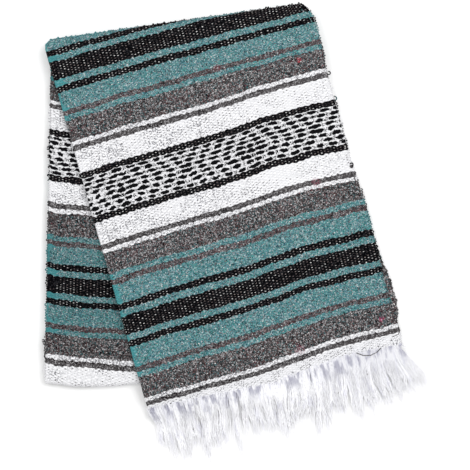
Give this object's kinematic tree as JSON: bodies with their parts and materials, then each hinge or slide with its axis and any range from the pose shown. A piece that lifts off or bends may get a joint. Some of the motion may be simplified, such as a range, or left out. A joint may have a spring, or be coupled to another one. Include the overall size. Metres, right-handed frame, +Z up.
{
  "type": "serape blanket",
  "caption": "Striped woven serape with a knotted fringe, folded lengthwise into a strip and turned over on itself askew, lying flat.",
  "frame": {"origin": "centre of the part's box in plan, on the surface that it lies on", "axes": "+Z up, +Y towards the turned-over end, +X towards the side where the flap drapes off the strip"},
  "size_m": [0.5928, 0.7175, 0.0277],
  "materials": {
    "flap_cloth": "coarse heathered wool and acrylic weft in teal, charcoal, black and white stripes",
    "under_cloth": "the same cloth: coarse heathered weft stripes",
    "hidden_layers": "the same cloth, seen at its edges only",
    "fringe": "soft white twisted warp yarn, fluffy at the ends"
  },
  "bodies": {
    "root": {"flap_cloth": "flap_cloth", "under_cloth": "under_cloth", "hidden_layers": "hidden_layers", "tassel_01": "fringe", "tassel_02": "fringe", "tassel_03": "fringe", "tassel_04": "fringe", "tassel_05": "fringe", "tassel_06": "fringe", "tassel_07": "fringe", "tassel_08": "fringe", "tassel_09": "fringe", "tassel_10": "fringe", "tassel_11": "fringe", "tassel_12": "fringe", "tassel_13": "fringe", "tassel_14": "fringe", "tassel_15": "fringe", "tassel_16": "fringe", "tassel_17": "fringe", "tassel_18": "fringe", "tassel_19": "fringe"}
  },
  "joints": []
}
